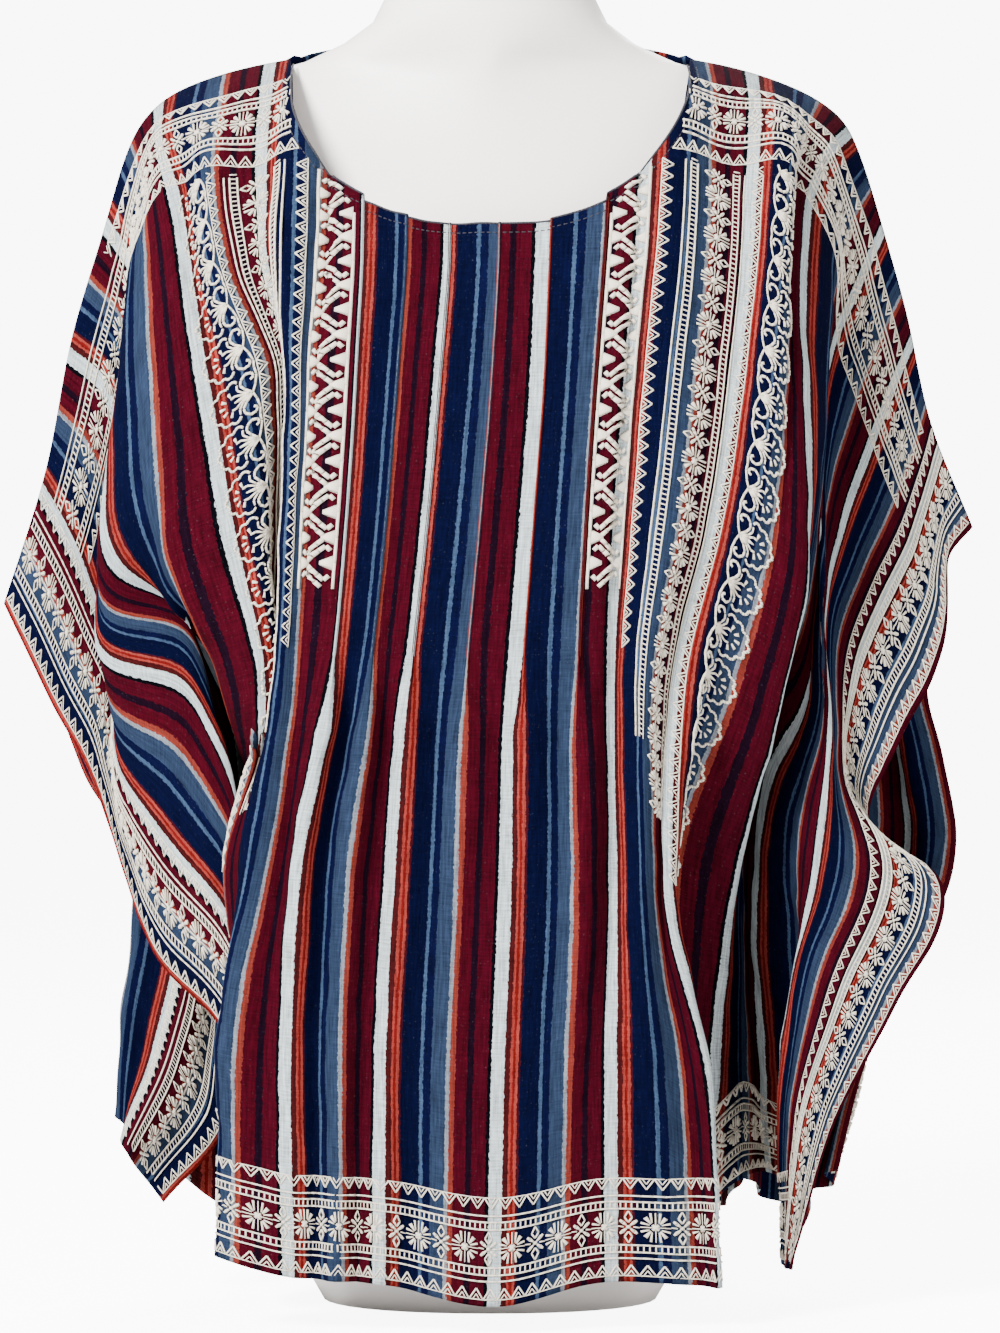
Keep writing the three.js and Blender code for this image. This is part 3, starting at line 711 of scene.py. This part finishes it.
thread, nodes, links, shader = new_material("thread")
stitch_uv = nodes.new("ShaderNodeUVMap")
stitch_uv.uv_map = "Stitch"
coords = nodes.new("ShaderNodeTexCoord").outputs["Object"]
tint = noise(nodes, links, coords, 160, 3)
links.new(mix_colour(nodes, links, tint, THREAD_LIGHT, THREAD_DARK), shader.inputs["Base Color"])
shader.inputs["Roughness"].default_value = 0.58
shader.inputs["Sheen Weight"].default_value = 0.2
twist = noise(nodes, links, stitch_uv.outputs["UV"], 1.0, 2, (2.4, 0.5, 1))
links.new(bump(nodes, links, twist, 0.0004, 0.6), shader.inputs["Normal"])


def embroider(name, drape, bars, place, material=thread):
    """One stitched bar arrayed as often as the pattern needs, each then laid on the worn cloth."""
    a0, b0, a1, b1, w0, w1, tall = bars.T
    length = np.maximum(np.hypot(a1 - a0, b1 - b0), 0.1)
    along, out = (a1 - a0) / length, (b1 - b0) / length
    keep = place(np.concatenate([a0, a1]), np.concatenate([b0, b1]))[2].reshape(2, -1).all(axis=0)
    bm = bmesh.new()
    bmesh.ops.create_cube(bm, size=2)
    for face in bm.faces:
        face.smooth = True
    mesh = bpy.data.meshes.new(name)
    bm.to_mesh(mesh)
    bm.free()
    corners = np.array([v.co[:] for v in mesh.vertices])
    pattern = bpy.data.objects.new(name, mesh)
    bpy.context.scene.collection.objects.link(pattern)
    array = pattern.modifiers.new("Repeat", "ARRAY")
    array.count = int(keep.sum())
    graph = bpy.context.evaluated_depsgraph_get()
    stitched = bpy.data.meshes.new_from_object(pattern.evaluated_get(graph))
    bpy.data.objects.remove(pattern)
    x, y, z = corners.T
    top = (z > 0)[None, :]
    width = np.where(x[None, :] < 0, w0[:, None], w1[:, None]) * np.where(top, 0.28, 0.5)
    inset = np.where(top, 0.22 * np.minimum(w0, w1)[:, None], 0.0)
    reach = np.where(x[None, :] < 0, inset, length[:, None] - inset)
    a = a0[:, None] + along[:, None] * reach - out[:, None] * width * y
    b = b0[:, None] + out[:, None] * reach + along[:, None] * width * y
    u, drop, _ = place(a[keep], b[keep])
    height = STITCH_BASE + top * tall[keep][:, None]
    worn = drape.at(u, drop, height).reshape(-1, 3)
    stitched.vertices.foreach_set("co", worn.astype(np.float32).ravel())
    corner = np.empty(len(stitched.loops), np.int32)
    stitched.loops.foreach_get("vertex_index", corner)
    uv = stitched.uv_layers.new(name="Stitch")
    local = np.stack([reach, width * y], -1)[keep].reshape(-1, 2)
    uv.data.foreach_set("uv", local[corner].astype(np.float32).ravel())
    first = worn[:8]
    cube = stitched.polygons[0]
    p, q, r = (first[i] for i in cube.vertices[:3])
    if np.dot(np.cross(q - p, r - q), p - first.mean(axis=0)) < 0:
        stitched.flip_normals()
    stitched.update()
    return place_piece(name, stitched, material)


EDGE_BAND = 60
BORDER_CENTRE = 31
SHOULDER_CENTRE = 54
SHOULDER_RISE = {"left": 22, "right": 13}
HEM_BORDER_FROM = {"front": -410, "back": -335}
panels = {"front": (front_drape, FRONT_NECK_DEPTH), "back": (back_drape, BACK_NECK_DEPTH)}
sewn_on = {"front": [], "back": []}


def shoulder_stretch(a):
    """The shoulder border is worked wider where it nears the neck."""
    return np.interp(a, (125, 230), (1.25, 1.0))


for panel, (drape, neck_depth) in panels.items():

    def on_hem(a, b):
        return a, length_at(a) - b, np.ones_like(a, bool)

    bars = border(lambda b: HEM_BORDER_FROM[panel], lambda b: HALF_CUT_WIDTH - EDGE_BAND, BORDER_CENTRE)
    sewn_on[panel].append(embroider(panel + "_hem_border", drape, bars, on_hem))
    for side, hand in ((-1, "left"), (1, "right")):

        def on_cuff(a, b):
            u = side * (HALF_CUT_WIDTH - b)
            return u, a, (a > 1) & (a < length_at(u) - 3)

        def on_shoulder(a, b):
            b = b * shoulder_stretch(a) - np.interp(a, (180, 290), (0, SHOULDER_RISE[hand]))
            return side * a, b, b > neck_drop(a, neck_depth) + 5

        bars = border(lambda b: 2, lambda b: BODY_LENGTH, BORDER_CENTRE)
        sewn_on[panel].append(embroider(panel + "_cuff_border_" + hand, drape, bars, on_cuff))
        bars = border(lambda b: 1, lambda b: HALF_CUT_WIDTH - EDGE_BAND, SHOULDER_CENTRE)
        sewn_on[panel].append(embroider(panel + "_shoulder_border_" + hand, drape, bars, on_shoulder))

# Seams: the neckline is turned in and topstitched 6 mm from its edge, and each tuck is sewn down
# beside its ridge, all with dark thread in long machine stitches. A solid dark line along the
# neckline's very edge stands partly for its turned edge and partly for painted shade along it.
DASH = 2.1
DASH_PITCH = 3.2
NECK_STITCH_IN = 6
# How far in the solid dark edge line lies: the turned edge, with painted shade along it.
NECK_EDGE_AND_SHADE_IN = 0.5
TUCK_STITCH_AT = 4.0

dark_thread_and_edge_shade, nodes, links, shader = new_material("dark_thread_and_edge_shade")
shader.inputs["Base Color"].default_value = (0.008, 0.007, 0.014, 1)
shader.inputs["Roughness"].default_value = 0.75


def as_cut(a, b):
    return a, b, np.ones_like(a, bool)


def dashes(points, step, dash, width, tall):
    """Stitches of one length at even steps along a line on the cut."""
    points = np.array(points)
    run = np.concatenate([[0], np.cumsum(np.hypot(*np.diff(points, axis=0).T))])
    starts = np.arange(0, run[-1] - dash, step)
    ends = [np.interp(at, run, points[:, axis]) for at in (starts, starts + dash) for axis in (0, 1)]
    size = np.ones_like(starts)
    return np.stack([*ends, width * size, width * size, tall * size], 1)


def neck_line(depth, inwards):
    """The scooped neckline on the cut, moved into the cloth."""
    turn = np.linspace(0.02, math.pi - 0.02, 240)
    power = 2 / NECK_ROUNDNESS
    u = -HALF_NECK_CUT * np.sign(np.cos(turn)) * np.abs(np.cos(turn)) ** power
    drop = depth * np.sin(turn) ** power
    along = np.stack([np.gradient(u), np.gradient(drop)])
    along = along / np.linalg.norm(along, axis=0)
    return np.stack([u - along[1] * inwards, drop + along[0] * inwards], 1)


for panel, (drape, neck_depth) in panels.items():
    stitches = [
        dashes(neck_line(neck_depth, NECK_STITCH_IN), DASH_PITCH, DASH, 0.7, 0.35),
        # Unbroken dark line at the neckline's edge: partly the turned edge, partly painted shade along it.
        dashes(neck_line(neck_depth, NECK_EDGE_AND_SHADE_IN), 2.0, 2.3, 1.3, 0.4),
    ]
    if panel == "front":
        for tuck in TUCKS:
            top = float(neck_drop(tuck, neck_depth)) + 3
            line = [(tuck + TUCK_STITCH_AT, top), (tuck + TUCK_STITCH_AT, TUCK_END)]
            stitches.append(dashes(line, DASH_PITCH, DASH, 0.6, 0.3))
    stitches = np.concatenate(stitches)
    sewn_on[panel].append(embroider(panel + "_stitching_and_edge_shade", drape, stitches, as_cut, dark_thread_and_edge_shade))

# Chest embroidery: upright rows either side of the tucks, in the same thread, from the shoulder
# border down to staggered ends: chevrons, lines, ladders, flowers and a run of scalloped fans.
COLUMN_TOP = 84
# Rows: motif, pitch, place across, turned, end
COLUMNS = [
    (CHEVRON, CHEVRON_PITCH, 117.5, 1, 388),
    (LINE, LINE_STEP, 130.3, 1, 433),
    (LADDER, 2 * LADDER_PITCH, 133, 1, 433),
    (FLOWERS, FLOWER_PITCH, 151, 1, 477),
    (LADDER, 2 * LADDER_PITCH, 160.5, 1, 470),
    (LINE, LINE_STEP, 168.2, 1, 470),
    (CHEVRON, CHEVRON_PITCH, 179, -1, 500),
]
FAN_START = {"left": 180, "right": 186}
FAN_PITCH = 25.4
FAN_END = 515


def curve_bars(points, width, tall):
    return [(*p, *q, width, width, tall) for p, q in zip(points, points[1:])]


SCROLL = [(0.4, 3.2), (3.4, 6.4), (6.4, 8.4), (9.2, 7.8), (11.2, 5.2), (10.6, 2.4), (8.4, 1.6), (7.4, 3.4)]
LEAVES = [
    [(0.8, 4.4), (2.6, 8.0), (5.4, 10.4), (8.2, 10.2)],
    [(0.5, 4.8), (1.7, 8.6), (3.4, 11.8), (3.2, 14.2)],
]
FAN_CENTRE = 12.6
FAN_REACH = 9.8
FAN_SPREAD = 1.85
SCALLOPS = 7


def fan_motif():
    """A palmette over two scrolls, edged with small scallops; its base line is at across 0."""
    bars = [(0, 3.4, 0, 8.6, 0.8, 2.2, 1.0), (0, 8.6, 0, 12.6, 2.2, 0.8, 1.0)]
    for side in (-1, 1):
        bars += curve_bars([(side * a, b) for a, b in SCROLL], 1.5, 1.0)
        bars += curve_bars([(side * 12.7, 0.8), (side * 9.0, 0.4), (side * 4.0, 1.4), (0, 3.0)], 1.3, 0.9)
        for leaf in LEAVES:
            bars += curve_bars([(side * a, b) for a, b in leaf], 1.2, 0.9)
    for k in range(-2, 3):
        lean = k * 0.62
        near, far = ((r * math.sin(lean), FAN_CENTRE + r * math.cos(lean)) for r in (4.2, 7.0))
        bars.append((*near, *far, 1.0, 2.0, 0.9))
    edge = []
    for k in range(SCALLOPS * 4 + 1):
        turn = FAN_SPREAD * (k / (SCALLOPS * 2) - 1)
        reach = FAN_REACH + 1.6 * abs(math.sin(k * math.pi / 4))
        edge.append((reach * math.sin(turn), FAN_CENTRE + reach * math.cos(turn)))
    return bars + curve_bars(edge, 1.4, 1.0)


# Lattice braids: one along each side of the tucks, 21 mm wide, with triangles along both edges and
# paired slanting bars that lean the other way at each unit. They end 35 mm above the tucks' ends.
BRAID_CENTRE = 102
BRAID_UNIT = 13.9
BRAID_END = 350
BRAID = [
    (-0.2, -9.7, BRAID_UNIT + 0.2, -9.7, 1.7, 1.7, 1.2),
    (-0.2, 9.7, BRAID_UNIT + 0.2, 9.7, 1.7, 1.7, 1.2),
    (0.0, -9.4, 0.0, -2.6, 8.8, 2.2, 1.4),
    (0.0, 9.4, 0.0, 2.6, 8.8, 2.2, 1.4),
    *curve_bars([(0.9, -3.9), (3.7, -0.9), (6.5, 2.1), (9.3, 5.0), (6.8, 7.4)], 2.5, 1.6),
    *curve_bars([(13.0, 3.9), (10.2, 0.9), (7.4, -2.1), (4.6, -5.0), (7.1, -7.4)], 2.5, 1.6),
]


for side, hand, wide in ((-1, "left", 1.3), (1, "right", 1.1)):

    def down_chest(a, b):
        top = np.maximum(neck_drop(b, FRONT_NECK_DEPTH) + 4, COLUMN_TOP * shoulder_stretch(b))
        return side * b, a, a > top

    rows = [
        repeated(motif, pitch, COLUMN_TOP + pitch / 4, end, across, turned)
        for motif, pitch, across, turned, end in COLUMNS
    ]
    start = COLUMN_TOP + FAN_PITCH / 2
    fan = [(a0, b0 * wide, a1, b1 * wide, w0, w1, h) for a0, b0, a1, b1, w0, w1, h in fan_motif()]
    rows.append(repeated(fan, FAN_PITCH, start, FAN_END + 10, FAN_START[hand]))
    rows = np.concatenate(rows)
    sewn_on["front"].append(embroider("chest_rows_" + hand, front_drape, rows, down_chest))
    pair = BRAID + [
        (a0 + BRAID_UNIT, -b0, a1 + BRAID_UNIT, -b1, w0, w1, h)
        for a0, b0, a1, b1, w0, w1, h in BRAID
    ]
    bars = repeated(pair, 2 * BRAID_UNIT, BRAID_END - 9 * 2 * BRAID_UNIT, BRAID_END + 1, BRAID_CENTRE)
    braid = embroider("lattice_braid_" + hand, front_drape, bars, down_chest)
    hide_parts("braid_" + hand)
    sewn_on["front"].append(braid)

# Each panel is one sheet cut flat to this size, with its embroidery and stitching on it; the loop below
# does nothing with them.
for panel, cloth, scoop in (("front", front_cloth, front_scoop), ("back", back_cloth, back_scoop)):
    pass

# Studio: a plain pale floor before a pale surround, soft light from above and in front, and the
# camera level with the middle of the top, as far off as it takes to frame all of it.
VIEW_CENTRE = Vector((0.0057, -0.06, 0.3628))
VIEW_HEIGHT = 0.749
CAMERA_DISTANCE = 2.3
WORLD_LIGHT = 0.9
SEEN_GLOW = 8.0
SENSOR = 36

bm = bmesh.new()
bmesh.ops.create_grid(bm, x_segments=1, y_segments=1, size=6.0)
for vert in bm.verts:
    vert.co.z = -0.0005
mesh = bpy.data.meshes.new("floor")
bm.to_mesh(mesh)
bm.free()
floor = bpy.data.objects.new("floor", mesh)
bpy.context.scene.collection.objects.link(floor)
floor_material, nodes, links, shader = new_material("pale_floor")
shader.inputs["Base Color"].default_value = (0.93, 0.93, 0.93, 1)
shader.inputs["Roughness"].default_value = 0.9
shader.inputs["Emission Color"].default_value = (1, 1, 1, 1)
seen = nodes.new("ShaderNodeLightPath").outputs["Is Camera Ray"]
links.new(math_node(nodes, links, "MULTIPLY", seen, SEEN_GLOW), shader.inputs["Emission Strength"])
mesh.materials.append(floor_material)


def soft_light(name, place, aim, size, power):
    lamp = bpy.data.lights.new(name, "AREA")
    lamp.shape = "DISK"
    lamp.size = size
    lamp.energy = power
    light = bpy.data.objects.new(name, lamp)
    light.location = place
    light.rotation_euler = (Vector(aim) - Vector(place)).to_track_quat("-Z", "Y").to_euler()
    bpy.context.scene.collection.objects.link(light)


soft_light("key", (-1.7, -2.0, 2.2), (0, 0, 0.4), 1.0, 390)
soft_light("fill", (1.8, -2.2, 1.2), (0, 0, 0.4), 1.8, 30)
soft_light("back", (0.4, 1.6, 2.0), (0, 0, 0.5), 1.4, 70)
world = bpy.data.worlds.new("studio")
bpy.context.scene.world = world
world.use_nodes = True
world.node_tree.nodes["Background"].inputs["Color"].default_value = (1, 1, 1, 1)
nodes, links = world.node_tree.nodes, world.node_tree.links
seen = nodes.new("ShaderNodeLightPath").outputs["Is Camera Ray"]
glow = math_node(nodes, links, "MULTIPLY_ADD", seen, SEEN_GLOW, WORLD_LIGHT)
links.new(glow, nodes["Background"].inputs["Strength"])

camera_data = bpy.data.cameras.new("camera")
camera_data.sensor_width = SENSOR
camera_data.lens = SENSOR * CAMERA_DISTANCE / VIEW_HEIGHT
camera = bpy.data.objects.new("camera", camera_data)
camera.location = VIEW_CENTRE + Vector((0, -CAMERA_DISTANCE, 0))
camera.rotation_euler = (math.radians(90), 0, 0)
bpy.context.scene.collection.objects.link(camera)
bpy.context.scene.camera = camera
